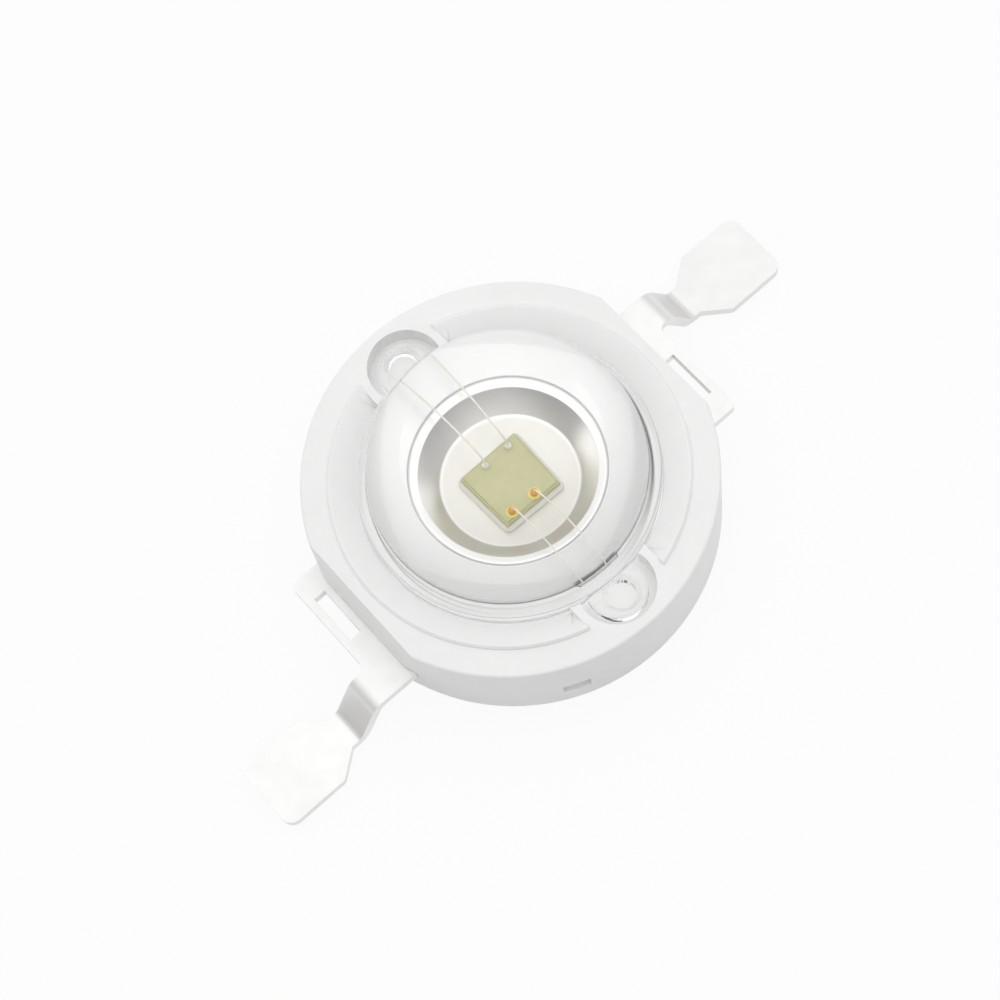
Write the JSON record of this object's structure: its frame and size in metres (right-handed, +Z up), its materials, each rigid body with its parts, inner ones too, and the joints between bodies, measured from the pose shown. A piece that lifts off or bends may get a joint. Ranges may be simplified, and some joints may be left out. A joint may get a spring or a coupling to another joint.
{
  "type": "power led emitter",
  "caption": "Bare power light-emitting diode: white round housing, clear domed lens over a reflector cup and chip, heat slug below, and two flat gull-wing solder leads.",
  "frame": {"origin": "centre of the underside of the heat slug, under the middle of the lens", "axes": "+Z up along the lens axis, towards the light's way out; +X along the leads, towards the anode lead's pad; +Y towards one ear of the lens"},
  "size_m": [0.0148, 0.008, 0.0052],
  "materials": {
    "white_moulding": "white moulded resin, fine satin",
    "silver_plate": "copper alloy under bright silver plating",
    "silver_lead": "stamped copper alloy under satin silver plating",
    "bond_finish": "silver-filled adhesive",
    "chip_finish": "greenish-yellow semiconductor chip",
    "gold_wire": "fine bright gold wire",
    "clear_silicone": "clear soft silicone",
    "clear_lens": "clear polished moulding"
  },
  "bodies": {
    "root": {"housing": "white_moulding", "heat_slug": "silver_plate", "anode_lead": "silver_lead", "cathode_lead": "silver_lead", "die_bond": "bond_finish", "led_chip": "chip_finish", "bond_wire_1": "gold_wire", "bond_wire_2": "gold_wire", "bond_wire_3": "gold_wire", "bond_wire_4": "gold_wire", "silicone_filling": "clear_silicone", "lens": "clear_lens"}
  },
  "joints": []
}
